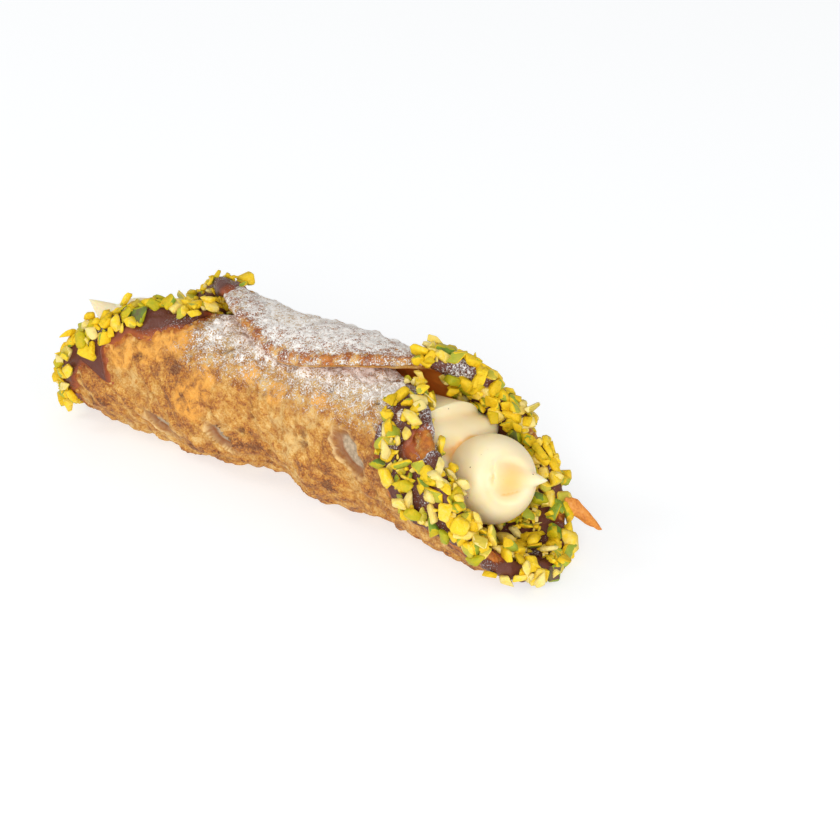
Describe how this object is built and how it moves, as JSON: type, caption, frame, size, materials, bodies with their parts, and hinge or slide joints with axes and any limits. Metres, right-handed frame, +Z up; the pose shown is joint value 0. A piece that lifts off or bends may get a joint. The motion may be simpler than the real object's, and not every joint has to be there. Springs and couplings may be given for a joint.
{
  "type": "filled cannolo pastry",
  "caption": "Cannolo: a disc of dough rolled into a tube with an overlapping flap, filled with piped cream, its oblique mouths coated in chocolate and chopped pistachio",
  "frame": {"origin": "middle of the bounding box, on the surface that the cannolo lies on", "axes": "+Z up, +X along the tube towards the right mouth with the larger cream swirl, +Y towards the far side; the free edge of the flap is on the -Y side"},
  "size_m": [0.1325, 0.0408, 0.0373],
  "materials": {
    "shell": "blistered golden brown fried dough under icing sugar",
    "cream": "smooth pale custard cream, softly glossy",
    "chocolate": "set dark chocolate, semi-gloss",
    "nuts": "chopped pistachio, yellow-green"
  },
  "bodies": {
    "root": {"shell": "shell", "cream": "cream", "chocolate_right": "chocolate", "chocolate_left": "chocolate", "nuts_right": "nuts", "nuts_left": "nuts"}
  },
  "joints": []
}
